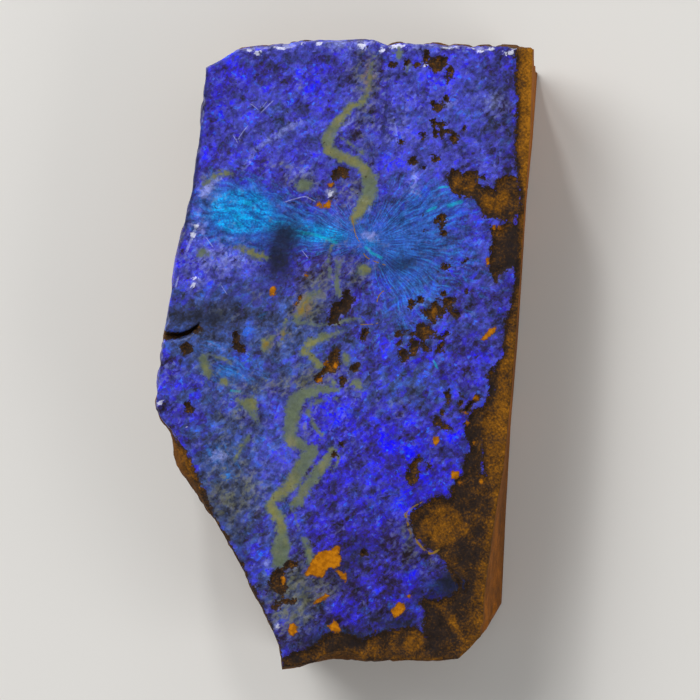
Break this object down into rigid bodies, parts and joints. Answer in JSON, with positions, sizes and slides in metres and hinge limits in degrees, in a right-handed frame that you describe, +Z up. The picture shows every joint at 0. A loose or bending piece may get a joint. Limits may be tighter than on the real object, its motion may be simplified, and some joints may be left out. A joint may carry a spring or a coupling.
{
  "type": "rough boulder opal",
  "caption": "Flat rough slab of blue-violet boulder opal on brown ironstone, sawn along one side and broken on the others, lying on its flat back.",
  "frame": {"origin": "middle of the stone's box at the sawn back it lies on", "axes": "+Z up out of the opal face, +Y along the slab towards its chipped end, +X towards the sawn side"},
  "size_m": [0.0208, 0.034, 0.0071],
  "materials": {
    "opal_on_ironstone": "blue-violet opal skin with a soft gloss over dull brown ironstone"
  },
  "bodies": {
    "root": {"boulder_opal": "opal_on_ironstone"}
  },
  "joints": []
}
